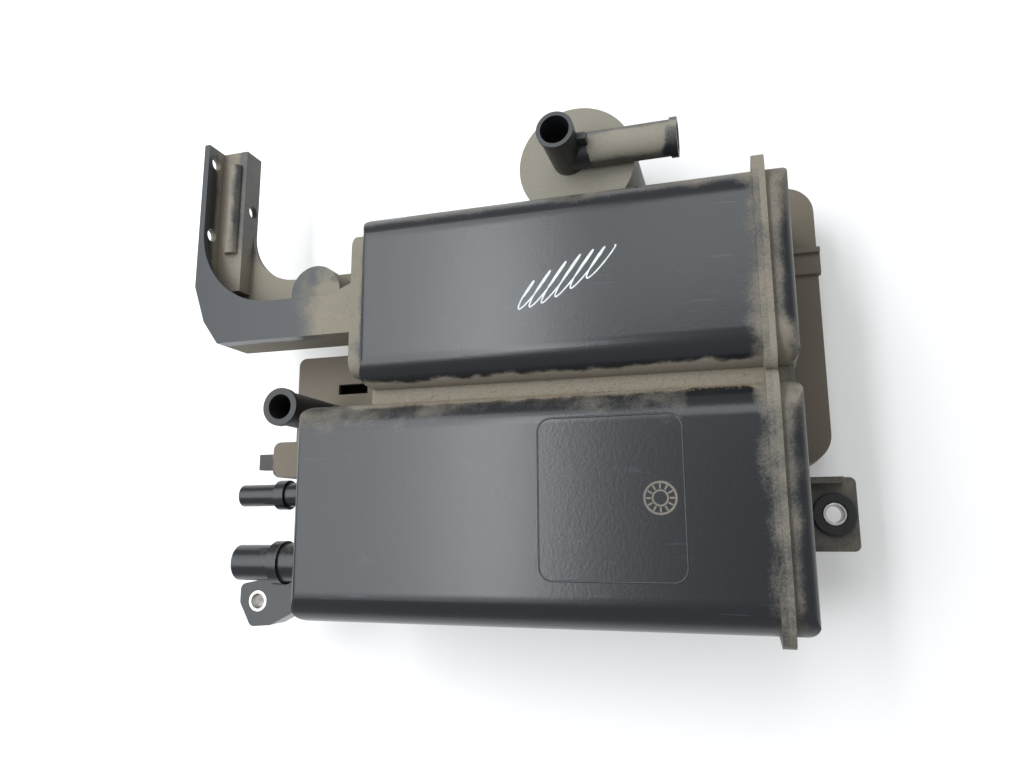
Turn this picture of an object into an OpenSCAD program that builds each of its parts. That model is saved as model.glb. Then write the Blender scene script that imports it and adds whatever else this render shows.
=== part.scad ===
// Charcoal canister with two carbon chambers, a rear air box, a vent unit and a bracket arm.
// Lies on its back: X runs along the chambers, Y across them, Z up from the rear lid.
// The origin is the middle of the rear lid's outline, on its outer face.

/* [Chambers] */
// Length of the lower chamber up to the weld flange
lower_len = 185.5; // [168:0.5:200]
// Width of the lower chamber
lower_w = 88; // [80:1:100]
// Length of the upper chamber up to the weld flange
upper_len = 165.5; // [150:0.5:176]
// Width of the upper chamber
upper_w = 75; // [66:1:84]
// Gap between the two chambers
chamber_gap = 6; // [4:0.5:12]
// Thickness of both chambers, front to back
chamber_h = 66; // [56:1:80]
// Radius of the chambers' long edges
edge_r = 13; // [10:0.5:16]
// Radius of the edges round the chambers' closed ends
end_r = 4; // [3:0.5:6]
// Height of the raised panel on the upper chamber's closed end
panel_h = 7; // [4:0.5:10]
// Margin round that panel
panel_inset = 6; // [4:0.5:7]
// Wall of the chambers and the end cover
wall = 2.5; // [2:0.1:3.5]
// How far the lower chamber hangs past the rear box
overhang = 62.5; // [50:0.5:66]
// Depth of the groove between the chambers, from the front face
groove_depth = 13; // [6:1:24]

/* [Weld flange and end cover] */
// Thickness of each of the two weld flanges
flange_t = 2.25; // [2:0.05:4.5]
// How far the flanges stand proud of the chamber walls
flange_proud = 3; // [2.5:0.5:8]
// Distance of the weld flange from the rear box's end
flange_inset = 26.5; // [22:0.5:36]
// Depth of the end cover beyond its flange
cover_depth = 8; // [6:0.5:14]
// Depth of the end cover's recess between the chambers
band_recess = 2; // [1:0.25:3]
// Radius of the edges round the end cover's face
cover_edge_r = 5; // [3:0.5:6]
// Corner radius of the weld flanges
flange_r = 8; // [6:0.5:13]

/* [Carbon stack] */
// Clearance of the stack pieces inside the chamber walls
stack_clear = 0.3; // [0.1:0.05:0.8]
// Height of the ribs that hold each inlet grid off the end wall
plenum = 6; // [4:0.5:12]
// Thickness of the inlet grids and pressure plates
grid_t = 2.5; // [2:0.1:4]
// Diameter of the holes in the grids and plates
grid_hole_d = 6; // [3:0.5:7]
// Spacing of the holes in the grids and plates
grid_pitch = 11; // [9:0.5:16]
// Thickness of each fleece
fleece_t = 3; // [2:0.5:6]
// Installed length of the springs
spring_len = 16; // [14:0.5:24]
// Mean diameter of the springs
spring_d = 38; // [24:1:48]
// Wire diameter of the springs
spring_wire_d = 1.8; // [1.2:0.1:2.4]
// Turns of each spring
spring_turns = 3; // [2:0.5:4]

/* [Spigots and lug] */
// Outer diameter of the small spigot
small_d = 9.89; // [7:0.01:12]
// Bore of the small spigot
small_bore = 7; // [4:0.1:7.5]
// Outer diameter of the large spigot
large_d = 15.82; // [12:0.01:20]
// Bore of the large spigot
large_bore = 12.4; // [8:0.1:13]
// How far each spigot's ring stands proud of its tube
ring_step = 1.7; // [1:0.1:3]
// Width of the rings
ring_w = 5; // [3:0.5:8]
// How far each spigot's neck, behind the ring, stands proud of its tube
neck_step = 0.5; // [0.3:0.1:0.9]
// Distance of the rings' outer ends from the chamber's end wall
neck_len = 27; // [16:0.5:32]
// Length of the spigot tubes beyond the rings
spigot_len = 19; // [14:0.5:30]
// Height of the bead on the air stub and the vent pipes
bead_step = 0.8; // [0.4:0.1:1.4]
// Distance of the large spigot's axis from the lower chamber's outer side
large_y = 22; // [14:0.5:28]
// Distance of the small spigot's axis from the large one
spigot_pitch = 30; // [24:0.5:40]
// Outer diameter of the lug's steel sleeve
sleeve_d = 10; // [8:0.1:12]
// Bore of both steel sleeves
sleeve_bore = 6.6; // [5:0.1:7]
// Thickness of the lug
lug_t = 12; // [8:0.5:18]
// Distance of the lug's bore from the chamber's end wall
lug_reach = 46.5; // [36:0.5:54]
// Distance of the lug's bore from the lower chamber's outer side
lug_y = 3.5; // [0:0.5:10]
// Distance of the lug's edges from its bore
lug_r = 9.5; // [8.5:0.5:12]
// Corner radius of the lug
lug_corner = 3; // [2:0.5:4]

/* [Grommet tab] */
// Width of the tab
tab_w = 29; // [24:0.5:36]
// Length of the tab beyond the end cover
tab_len = 20.5; // [19:0.5:28]
// Thickness of the tab
tab_t = 6; // [4:0.5:8]
// Height of the tab's under side above the chamber's back
tab_z = 4; // [1:0.5:12]
// Distance of the tab's far edge from the lower chamber's inner side
tab_y = 32; // [20:0.5:40]
// Outer diameter of the rubber grommet
grommet_d = 16.7; // [14:0.1:18]
// Diameter of the tab's hole, which holds the grommet's neck
grommet_neck_d = 13; // [11.5:0.1:13.5]
// Thickness of the grommet's two lips
grommet_lip = 2.4; // [1.5:0.1:4]
// Outer diameter of the grommet's steel sleeve
grommet_sleeve_d = 9; // [8:0.1:10]

/* [Rear box] */
// Length of the rear box
rear_len = 253.5; // [240:0.5:262]
// Width of the rear box
rear_w = 122; // [112:0.5:126]
// Height of the rear box with its lid
rear_h = 30; // [24:0.5:40]
// Wall of the rear box
rear_wall = 2.5; // [2:0.1:3.5]
// Corner radius of the rear box
rear_r = 12; // [8:0.5:16]
// Length of the narrow wing at the rear box's left end
wing_len = 70; // [60:0.5:76]
// Width of the narrow wing
wing_w = 61; // [52:0.5:66]
// Corner radius of the narrow wing
wing_r = 4; // [2:0.5:6]
// Thickness of the rear lid
lid_t = 3; // [2:0.25:5]
// Thickness of the panel filter
panel_t = 12; // [8:0.5:14]
// Width of the lid seal
seal_w = 2.5; // [1.5:0.25:4]
// Thickness of the lid seal
seal_t = 1.5; // [1:0.1:2.5]
// Outer diameter of the air stub
stub_d = 15.5; // [12:0.1:18]
// Bore of the air stub
stub_bore = 11; // [8:0.1:11.5]
// Height of the air stub above the rear box
stub_h = 48; // [36:1:56]
// Distance of the air stub from the rear box's left end
stub_x = 21.5; // [14:0.5:24]
// Distance of the air stub from the wing's lower side
stub_y = 28; // [24:0.5:36]
// Diameter of the port between the upper chamber and the rear box
port_d = 14; // [8:0.5:18]

/* [Vent unit] */
// Outer diameter of the vent unit
vent_d = 52; // [46:0.5:60]
// Height of the vent unit above the rear box
vent_h = 30; // [24:0.5:40]
// How far the vent unit hangs down beside the rear box
vent_drop = 14; // [8:0.5:18]
// Gap between the vent unit and the upper chamber
vent_gap = 0.8; // [0.5:0.1:4]
// Wall of the vent unit
vent_wall = 2.4; // [2:0.1:3.5]
// Thickness of the vent cap's disc
cap_t = 4; // [3:0.25:6]
// Distance of the vent unit from the weld flange
vent_x = 72.5; // [62:0.5:84]
// Outer diameter of the vent cap's stub and pipe
vent_pipe_d = 15; // [13:0.1:17]
// Bore of the vent cap's stub and pipe
vent_pipe_bore = 12.3; // [8:0.1:12.5]
// Height of the vent cap's upright stub
vent_stub_h = 28; // [22:0.5:36]
// Length of the vent cap's side pipe
vent_pipe_len = 48; // [42:0.5:60]

/* [Bracket arm] */
// Distance of the bracket's outer edge from the upper chamber's end wall
arm_len = 100; // [90:0.5:120]
// Height of the leg above the arm's lower side
leg_len = 106; // [96:0.5:130]
// Width of the leg
leg_w = 17; // [14:0.5:22]
// Depth of the bracket, front to back
arm_d = 24; // [20:0.5:28]
// Width of the arm's front wall
arm_front_w = 19; // [16:0.5:26]
// Width of the arm's back wall
arm_back_w = 36; // [32:0.5:44]
// Wall of the bracket
arm_wall = 3; // [2:0.1:4]
// Height of the bracket's back above the chambers' back
arm_z = 12; // [6:0.5:18]
// Distance of the arm's lower side from the upper chamber's lower side
arm_y = 31.5; // [24:0.5:34]
// Diameter of the leg's fixing holes
arm_hole_d = 6.5; // [5:0.1:7]
// Diameter of the boss in the arm
boss_d = 26; // [16:0.5:28]
// Distance of the boss from the upper chamber's end wall
boss_x = 35.5; // [30:0.5:42]
// Diameter of the bead along the leg
leg_bead_d = 7; // [4:0.5:8]

/* [Hidden] */
$fn = 48;

// Overcut that lets a tool pass right through a face
over = 1;

// Chambers
chamber_z0 = rear_h;
chamber_z1 = chamber_z0 + chamber_h;
mid_z = (chamber_z0 + chamber_z1) / 2;
flange_x = rear_len / 2 - flange_inset;
lower_x0 = flange_x - lower_len;
upper_x0 = flange_x - upper_len;
lower_y0 = -rear_w / 2 - overhang;
lower_y1 = lower_y0 + lower_w;
upper_y0 = lower_y1 + chamber_gap;
upper_y1 = upper_y0 + upper_w;
inner_r = edge_r - wall;
inner_end_r = max(end_r - wall, wall / 5);
upper_in_x = upper_x0 + panel_h;
web_lap = wall / 2;

// End cover
cover_x0 = flange_x + flange_t;
cover_lip_x = cover_x0 + flange_t;
cover_x1 = cover_lip_x + cover_depth;
band_x1 = cover_x1 - band_recess;
stack_x1 = cover_x1 - wall;
cross_h = chamber_h / 3;

// Spigots and lug
large_axis_y = lower_y0 + large_y;
small_axis_y = large_axis_y + spigot_pitch;
lug_x = lower_x0 - lug_reach;
lug_axis_y = lower_y0 + lug_y;
lug_z0 = chamber_z0 + edge_r / 2;
lug_side = lug_r - lug_corner;

// Grommet tab
tab_z0 = chamber_z0 + tab_z;
tab_y1 = lower_y1 - tab_y;
tab_y0 = tab_y1 - tab_w;
tab_x1 = cover_x1 + tab_len;
grommet_margin = 0.5;
grommet_x = tab_x1 - grommet_d / 2 - grommet_margin;
grommet_y = (tab_y0 + tab_y1) / 2;
tab_rib_t = 2.5;
tab_rib_h = tab_t * 2;

// Rear box
rear_x0 = -rear_len / 2;
rear_x1 = rear_len / 2;
rear_y0 = -rear_w / 2;
rear_y1 = rear_w / 2;
wing_x1 = rear_x0 + wing_len;
wing_y1 = rear_y0 + wing_w;
wing_lap = rear_r * 2;
stub_axis_x = rear_x0 + stub_x;
stub_axis_y = rear_y0 + stub_y;
bead_len = 3;
port_x = upper_x0 + upper_len / 4;
port_y = (upper_y0 + upper_y1) / 2;
port_seal_w = 3;
port_seal_t = 1.2;
clip_len = 13;
clip_w = 18;
clip_tab_len = 21;
clip_tab_w = 8;
clip_tab_t = 6;
clip_r = 4;
catch_w = 9;
catch_depth = 12;
catch_bar = 2.4;
catch_inset = 32;
catch_proud = 4;
catch_over = 1;
slot_len = 16;
slot_w = 5;
slot_x = 23.5;
slot_y = 15;

// Vent unit
vent_r = vent_d / 2;
vent_axis_x = flange_x - vent_x;
vent_axis_y = upper_y1 + vent_gap + vent_r;
vent_z0 = rear_h;
vent_cap_z = vent_z0 + vent_h - cap_t;
vent_top_z = vent_z0 + vent_h;
vent_pipe_z = vent_top_z + vent_pipe_d / 2 - vent_wall / 2;
vent_stub_x = vent_axis_x - vent_pipe_d / 5;
vent_stub_y = vent_axis_y + vent_pipe_d / 8;
vent_hole_d = 8;
vent_hole_y = (upper_y1 + vent_gap + vent_wall + rear_y1 - rear_wall) / 2;
stub_rib_t = 3;
stub_rib_len = 11;
stub_rib_h = 6;

// Bracket arm
arm_x1 = upper_x0;
arm_x0 = arm_x1 - arm_len;
arm_y0 = upper_y0 + arm_y;
arm_z0 = chamber_z0 + arm_z;
arm_z1 = arm_z0 + arm_d;
leg_top = arm_y0 + leg_len;
leg_web_z = (arm_z0 + arm_z1) / 2;
corner_x = [0, 6.5, 15];
corner_y = [30, 11.5, 0];
front_fillet = 40;
back_fillet = 27;
flare_len = 24;
flare_w = 10;
hole_inset = 8;
hole_pitch = 31;
leg_bead_x = 11;
leg_bead_y0 = 50;
leg_bead_inset = 8;

// A rectangle with round corners, by its two corners
module rounded(x0, x1, y0, y1, r) {
    translate([x0 + r, y0]) square([x1 - x0 - 2 * r, y1 - y0]);
    translate([x0, y0 + r]) square([x1 - x0, y1 - y0 - 2 * r]);
    for (x = [x0 + r, x1 - r], y = [y0 + r, y1 - r]) translate([x, y]) circle(r);
}

// Stands a drawing of Y and Z up at a place along X
module along_x(x, t) {
    translate([x, 0, 0]) rotate([90, 0, 90]) linear_extrude(t) children();
}

// A chamber's form from its closed end at x0 to x1, drawn in by a margin
module chamber_block(x0, x1, y0, y1, margin, end_radius) {
    r = edge_r - margin;
    a = y0 + margin;
    b = y1 - margin;
    low = chamber_z0 + margin;
    high = chamber_z1 - margin;
    intersection() {
        along_x(x0, x1 - x0) rounded(a, b, low, high, r);
        translate([0, 0, low]) linear_extrude(high - low) rounded(x0, x1 + 2 * r, a, b, end_radius);
        translate([0, b, 0]) rotate([90, 0, 0]) linear_extrude(b - a)
            rounded(x0, x1 + 2 * r, low, high, end_radius);
    }
}

// The same form with its closed end at the right
module cap_block(x0, x1, y0, y1, end_radius) {
    translate([x0 + x1, 0, 0]) mirror([1, 0, 0]) chamber_block(x0, x1, y0, y1, 0, end_radius);
}

// A cylinder along X
module rod_x(x0, x1, y, z, d) {
    translate([x0, y, z]) rotate([0, 90, 0]) cylinder(d = d, h = x1 - x0);
}

// A cylinder along Z
module rod_z(x, y, z0, z1, d) {
    translate([x, y, z0]) cylinder(d = d, h = z1 - z0);
}

// Outline of both weld flanges, in Y and Z
module flange_outline() {
    front = chamber_z1 + flange_proud;
    rounded(lower_y0 - flange_proud, lower_y1 + flange_proud, chamber_z0, front, flange_r);
    rounded(upper_y0 - flange_proud, upper_y1 + flange_proud, chamber_z0, front, flange_r);
    translate([lower_y1 - edge_r, chamber_z0])
        square([chamber_gap + 2 * edge_r, chamber_h + flange_proud - groove_depth / 2]);
}

// Inside of one chamber, from its end wall to x1
module chamber_space(x0, x1, y0, y1) {
    chamber_block(x0 + wall, x1, y0, y1, wall, inner_end_r);
}

// Section of the panel on the upper chamber's closed end, drawn in by a margin
module panel_section(margin) {
    inset = panel_inset + margin;
    rounded(upper_y0 + inset, upper_y1 - inset, chamber_z0 + inset, chamber_z1 - inset, edge_r - inset);
}

// One spigot with its neck and ring, along X to the left
module spigot(y, d) {
    ring_x = lower_x0 - neck_len;
    tip_x = ring_x - spigot_len;
    rod_x(ring_x, lower_x0 + web_lap, y, mid_z, d + 2 * neck_step);
    rod_x(ring_x, ring_x + ring_w, y, mid_z, d + 2 * ring_step);
    rod_x(tip_x, ring_x + over, y, mid_z, d);
}

// Lug at the lower left corner, with the neck that carries it
module lug() {
    translate([0, 0, lug_z0]) linear_extrude(lug_t) hull() {
        for (spot = [[-1, 0.8], [-1, 0], [-0.25, -1.3], [1, -1.2]])
            translate([lug_x + spot[0] * lug_side, lug_axis_y + spot[1] * lug_side])
                circle(lug_corner, $fn = 32);
        translate([lower_x0, lower_y0 + edge_r]) square([web_lap, lug_r]);
    }
}

module canister_housing() {
    bore_x = lower_x0 - neck_len - spigot_len - over;
    color("#33373c") difference() {
        union() {
            chamber_block(lower_x0, flange_x, lower_y0, lower_y1, 0, end_r);
            chamber_block(upper_in_x, flange_x, upper_y0, upper_y1, 0, end_r);
            along_x(upper_x0, panel_h + web_lap) panel_section(0);
            translate([upper_in_x + web_lap, lower_y1 - web_lap, chamber_z0 + edge_r])
                cube([flange_x - upper_in_x - web_lap, chamber_gap + 2 * web_lap,
                      chamber_h - edge_r - groove_depth]);
            along_x(flange_x, flange_t) flange_outline();
            spigot(small_axis_y, small_d);
            spigot(large_axis_y, large_d);
            lug();
        }
        chamber_space(lower_x0, cover_x0 + over, lower_y0, lower_y1);
        chamber_space(upper_in_x, cover_x0 + over, upper_y0, upper_y1);
        along_x(upper_x0 + wall, panel_h + over) panel_section(wall);
        rod_x(bore_x, lower_x0 + wall + over, small_axis_y, mid_z, small_bore);
        rod_x(bore_x, lower_x0 + wall + over, large_axis_y, mid_z, large_bore);
        rod_z(lug_x, lug_axis_y, lug_z0 - over, lug_z0 + lug_t + over, sleeve_d);
        rod_z(port_x, port_y, chamber_z0 - over, chamber_z0 + wall + over, port_d);
    }
}

// Tab at the right that carries the grommet
module grommet_tab() {
    root_x = cover_x1 - wall / 2;
    translate([0, 0, tab_z0]) linear_extrude(tab_t) {
        rounded(cover_x1 + over, tab_x1, tab_y0, tab_y1, tab_rib_t);
        translate([root_x, tab_y0]) square([tab_len / 2, tab_w]);
    }
    translate([root_x, tab_y1 - tab_rib_t, tab_z0])
        cube([tab_x1 - root_x - 2 * tab_rib_t, tab_rib_t, tab_rib_h]);
}

// Section of one chamber inside its walls, in Y and Z
module inner_section(y0, y1) {
    rounded(y0 + wall, y1 - wall, chamber_z0 + wall, chamber_z1 - wall, inner_r);
}

module end_cover() {
    color("#3d4045") difference() {
        union() {
            along_x(cover_x0, flange_t) flange_outline();
            cap_block(cover_x0 + over, cover_x1, lower_y0, lower_y1, cover_edge_r);
            cap_block(cover_x0 + over, cover_x1, upper_y0, upper_y1, cover_edge_r);
            translate([cover_x0 + over, lower_y1 - edge_r, chamber_z0])
                cube([band_x1 - cover_x0 - over, chamber_gap + 2 * edge_r, chamber_h - groove_depth]);
            grommet_tab();
        }
        along_x(cover_x0 - over, stack_x1 - cover_x0 + over) inner_section(lower_y0, lower_y1);
        along_x(cover_x0 - over, stack_x1 - cover_x0 + over) inner_section(upper_y0, upper_y1);
        translate([cover_lip_x, lower_y1 - 2 * wall, mid_z - cross_h / 2])
            cube([band_x1 - wall - cover_lip_x, chamber_gap + 4 * wall, cross_h]);
        rod_z(grommet_x, grommet_y, tab_z0 - over, tab_z0 + tab_rib_h + over, grommet_neck_d);
    }
}

// A layer of the carbon stack that fills one chamber's section
module stack_layer(x, t, y0, y1) {
    inset = wall + stack_clear;
    along_x(x, t) rounded(y0 + inset, y1 - inset, chamber_z0 + inset, chamber_z1 - inset, inner_r);
}

// A stack layer with a field of holes
module stack_grid(x, t, y0, y1) {
    mid_y = (y0 + y1) / 2;
    ny = floor((y1 - y0 - 4 * wall - grid_hole_d) / grid_pitch / 2);
    nz = floor((chamber_h - 4 * wall - grid_hole_d) / grid_pitch / 2);
    difference() {
        stack_layer(x, t, y0, y1);
        for (i = [-ny:ny], j = [-nz:nz])
            rod_x(x - over, x + t + over, mid_y + i * grid_pitch, mid_z + j * grid_pitch, grid_hole_d);
    }
}

// Ribs that stand a grid off the chamber's end wall
module standoffs(x0, y0, y1) {
    rib_t = 2;
    for (y = [y0 + 2 * wall, y1 - 2 * wall - rib_t])
        translate([x0 + wall, y, chamber_z0 + edge_r])
            cube([grid_x(x0) - x0 - wall + grid_t / 2, rib_t, chamber_h - 2 * edge_r]);
}

// Places of the stack's layers, from the inlet end wall at x0 to the cover's inner face at x1
function grid_x(x0) = x0 + wall + max(plenum, inner_end_r);
function inlet_fleece_x(x0) = grid_x(x0) + grid_t;
function bed_x(x0) = inlet_fleece_x(x0) + fleece_t;
function plate_x(x1) = x1 - spring_len - grid_t;
function outlet_fleece_x(x1) = plate_x(x1) - fleece_t;
function bed_len(x0, x1) = outlet_fleece_x(x1) - bed_x(x0);

module inlet_grid(x0, y0, y1) {
    color("#55595e") union() {
        stack_grid(grid_x(x0), grid_t, y0, y1);
        standoffs(x0, y0, y1);
    }
}

module fleece(x, y0, y1) {
    color("#d9d6cc") stack_layer(x, fleece_t, y0, y1);
}

module carbon_bed(x0, x1, y0, y1) {
    color("#18181a") stack_layer(bed_x(x0), bed_len(x0, x1), y0, y1);
}

module pressure_plate(x1, y0, y1) {
    color("#55595e") stack_grid(plate_x(x1), grid_t, y0, y1);
}

// A coil spring along X, as a wire swept round a helix
module coil_spring(x1, y0, y1) {
    sides = 8;
    rings_per_turn = 16;
    rings = round(spring_turns * rings_per_turn);
    wire_r = spring_wire_d / 2;
    seat = 0.1;
    start = x1 - spring_len + wire_r + seat;
    travel = spring_len - spring_wire_d - 2 * seat;
    mid_y = (y0 + y1) / 2;
    lead = travel / (spring_turns * PI * spring_d);
    points = [for (i = [0:rings], k = [0:sides - 1])
        let (turn = 360 * spring_turns * i / rings, a = 360 * k / sides,
             out = spring_d / 2 + wire_r * cos(a), side = wire_r * sin(a) * lead)
        [start + travel * i / rings + wire_r * sin(a),
         mid_y + out * cos(turn) + side * sin(turn),
         mid_z + out * sin(turn) - side * cos(turn)]];
    walls = [for (i = [0:rings - 1], k = [0:sides - 1])
        let (n = (k + 1) % sides, b = i * sides)
        [b + k, b + n, b + sides + n, b + sides + k]];
    first = [for (k = [sides - 1:-1:0]) k];
    last = [for (k = [0:sides - 1]) rings * sides + k];
    color("#a8abad") polyhedron(points, concat(walls, [first], [last]));
}

module lug_sleeve() {
    color("#c9ccce") difference() {
        rod_z(lug_x, lug_axis_y, lug_z0, lug_z0 + lug_t, sleeve_d);
        rod_z(lug_x, lug_axis_y, lug_z0 - over, lug_z0 + lug_t + over, sleeve_bore);
    }
}

module tab_grommet() {
    z0 = tab_z0 - grommet_lip;
    z1 = tab_z0 + tab_t + grommet_lip;
    color("#1b1b1c") difference() {
        union() {
            rod_z(grommet_x, grommet_y, z0, tab_z0, grommet_d);
            rod_z(grommet_x, grommet_y, z0, z1, grommet_neck_d);
            rod_z(grommet_x, grommet_y, tab_z0 + tab_t, z1, grommet_d);
        }
        rod_z(grommet_x, grommet_y, z0 - over, z1 + over, grommet_sleeve_d);
    }
}

module grommet_sleeve() {
    z0 = tab_z0 - grommet_lip;
    z1 = tab_z0 + tab_t + grommet_lip;
    color("#c9ccce") difference() {
        rod_z(grommet_x, grommet_y, z0, z1, grommet_sleeve_d);
        rod_z(grommet_x, grommet_y, z0 - over, z1 + over, sleeve_bore);
    }
}

// Outline of the rear box, drawn in by a margin
module rear_outline(margin) {
    rounded(wing_x1 - wing_lap + margin, rear_x1 - margin, rear_y0 + margin, rear_y1 - margin,
            rear_r - margin);
    rounded(rear_x0 + margin, wing_x1 + rear_r, rear_y0 + margin, wing_y1 - margin,
            max(wing_r - margin, wing_r / 4));
}

// Clip at the rear box's left end
module rear_clip() {
    translate([0, 0, rear_h - clip_w]) linear_extrude(clip_w)
        rounded(rear_x0 - clip_len, rear_x0 + wing_r, rear_y0, rear_y0 + clip_w, clip_r);
    translate([rear_x0 - clip_tab_len, rear_y0 + clip_r, rear_h - clip_tab_t])
        cube([clip_tab_len, clip_tab_w, clip_tab_t]);
}

module rear_box() {
    catch_y = rear_y1 - catch_inset;
    color("#6d6657") difference() {
        union() {
            translate([0, 0, lid_t]) linear_extrude(rear_h - lid_t) rear_outline(0);
            rear_clip();
            translate([rear_x1 - catch_depth, catch_y, rear_h - rear_wall])
                cube([catch_depth + catch_over, catch_bar, rear_wall + catch_proud]);
            translate([rear_x1 - catch_depth, catch_y - catch_w, rear_h - rear_wall])
                cube([catch_depth + catch_over, catch_w + over, rear_wall + catch_proud / 2]);
            rod_z(stub_axis_x, stub_axis_y, rear_h - over, rear_h + stub_h, stub_d);
            rod_z(stub_axis_x, stub_axis_y, rear_h + stub_h - bead_len, rear_h + stub_h,
                  stub_d + 2 * bead_step);
        }
        translate([0, 0, lid_t - over]) linear_extrude(rear_h - lid_t - rear_wall + over)
            rear_outline(rear_wall);
        rod_z(stub_axis_x, stub_axis_y, rear_h - rear_wall - over, rear_h + stub_h + over, stub_bore);
        rod_z(port_x, port_y, rear_h - rear_wall - over, rear_h + over, port_d);
        rod_z(port_x, port_y, rear_h - port_seal_t, rear_h + over, port_d + 2 * port_seal_w);
        rod_z(vent_axis_x, vent_hole_y, rear_h - rear_wall - over, rear_h + over, vent_hole_d);
        translate([rear_x0 + slot_x, wing_y1 - slot_y - slot_w, rear_h - rear_wall - over])
            cube([slot_len, slot_w, rear_wall + 2 * over]);
    }
}

module rear_lid() {
    rim = rear_wall + stack_clear;
    color("#6d6657") union() {
        linear_extrude(lid_t) rear_outline(0);
        translate([0, 0, lid_t]) linear_extrude(rear_wall) difference() {
            rear_outline(rim + seal_w);
            rear_outline(rim + seal_w + rear_wall);
        }
    }
}

module lid_seal() {
    color("#1b1b1c") translate([0, 0, lid_t]) linear_extrude(seal_t) difference() {
        rear_outline(rear_wall);
        rear_outline(rear_wall + seal_w);
    }
}

module panel_filter() {
    z0 = lid_t + rear_wall;
    color("#e3dcc5") translate([wing_x1, rear_y0 + rear_wall + stack_clear, z0])
        cube([rear_x1 - wing_x1 - rear_wall - rear_r, rear_w - 2 * rear_wall - 2 * stack_clear, panel_t]);
}

module port_seal() {
    color("#1b1b1c") difference() {
        rod_z(port_x, port_y, rear_h - port_seal_t, rear_h, port_d + 2 * port_seal_w);
        rod_z(port_x, port_y, rear_h - port_seal_t - over, rear_h + over, port_d);
    }
}

// What the vent body leaves free for the rear box's edge, up to a height, with a margin beyond its side
module vent_seat(top_z, margin) {
    translate([vent_axis_x - vent_d, upper_y1, vent_z0 - vent_drop - over])
        cube([2 * vent_d, rear_y1 - upper_y1 + margin, top_z - vent_z0 + vent_drop + over]);
}

module vent_body() {
    low_z = vent_z0 - vent_drop;
    color("#7b7463") difference() {
        rod_z(vent_axis_x, vent_axis_y, low_z, vent_cap_z, vent_d);
        vent_seat(vent_z0, 0);
        difference() {
            rod_z(vent_axis_x, vent_axis_y, low_z + vent_wall, vent_cap_z + over, vent_d - 2 * vent_wall);
            vent_seat(vent_z0 + vent_wall, vent_wall);
        }
        rod_z(vent_axis_x, vent_hole_y, vent_z0 - over, vent_z0 + vent_wall + over, vent_hole_d);
    }
}

module vent_cap() {
    stub_top = vent_top_z + vent_stub_h;
    pipe_x1 = vent_stub_x + vent_pipe_len;
    spigot_d = vent_d - 2 * vent_wall - 2 * stack_clear;
    color("#7b7463") difference() {
        union() {
            rod_z(vent_axis_x, vent_axis_y, vent_cap_z, vent_top_z, vent_d);
            rod_z(vent_axis_x, vent_axis_y, vent_cap_z - cap_t, vent_cap_z, spigot_d);
            rod_z(vent_stub_x, vent_stub_y, vent_top_z - over, stub_top, vent_pipe_d);
            rod_z(vent_stub_x, vent_stub_y, stub_top - bead_len, stub_top, vent_pipe_d + bead_step);
            rod_x(vent_stub_x, pipe_x1, vent_stub_y, vent_pipe_z, vent_pipe_d);
            rod_x(pipe_x1 - bead_len, pipe_x1, vent_stub_y, vent_pipe_z, vent_pipe_d + 2 * bead_step);
            translate([vent_stub_x, vent_stub_y - stub_rib_t / 2, vent_pipe_z])
                cube([stub_rib_len, stub_rib_t, vent_pipe_d / 2 + stub_rib_h]);
        }
        rod_z(vent_axis_x, vent_axis_y, vent_cap_z - cap_t - over, vent_cap_z, spigot_d - 2 * vent_wall);
        rod_z(vent_stub_x, vent_stub_y, vent_cap_z - over, stub_top + over, vent_pipe_bore);
        rod_x(vent_stub_x, pipe_x1 + over, vent_stub_y, vent_pipe_z, vent_pipe_bore);
    }
}

module vent_seal() {
    bore_d = vent_d - 2 * vent_wall;
    z0 = vent_cap_z - cap_t - seal_t;
    color("#1b1b1c") difference() {
        rod_z(vent_axis_x, vent_axis_y, z0, z0 + seal_t, bore_d - stack_clear);
        rod_z(vent_axis_x, vent_axis_y, z0 - over, z0 + seal_t + over,
              bore_d - 2 * stack_clear - 2 * vent_wall);
    }
}

module vent_filter() {
    bore_d = vent_d - 2 * vent_wall;
    color("#e3dcc5") rod_z(vent_axis_x, vent_axis_y, vent_z0 + vent_wall, vent_cap_z - cap_t - seal_t,
                           bore_d - 2 * stack_clear);
}

// Flat wall of the bracket that turns from the arm into the leg
module bracket_wall(arm_w, leg_x1, fillet) {
    difference() {
        union() {
            translate([arm_x0, arm_y0]) square([arm_len, arm_w]);
            translate([arm_x0, arm_y0]) square([leg_x1 - arm_x0 + fillet, arm_w + fillet]);
        }
        translate([leg_x1 + fillet, arm_y0 + arm_w + fillet]) circle(fillet);
        translate([arm_x0, arm_y0]) bracket_corner();
    }
}

// What the bracket's sloped outer corner leaves away
module bracket_corner() {
    polygon([[-over, -over], [corner_x[2], -over], [corner_x[2], corner_y[2]], [corner_x[1], corner_y[1]],
             [corner_x[0], corner_y[0]], [-over, corner_y[0]]]);
}

// The wall along that corner
module corner_wall() {
    for (i = [0, 1])
        polygon([[corner_x[i], corner_y[i]], [corner_x[i + 1], corner_y[i + 1]],
                 [corner_x[i + 1] + arm_wall, corner_y[i + 1]], [corner_x[i] + arm_wall, corner_y[i]]]);
}

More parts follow.
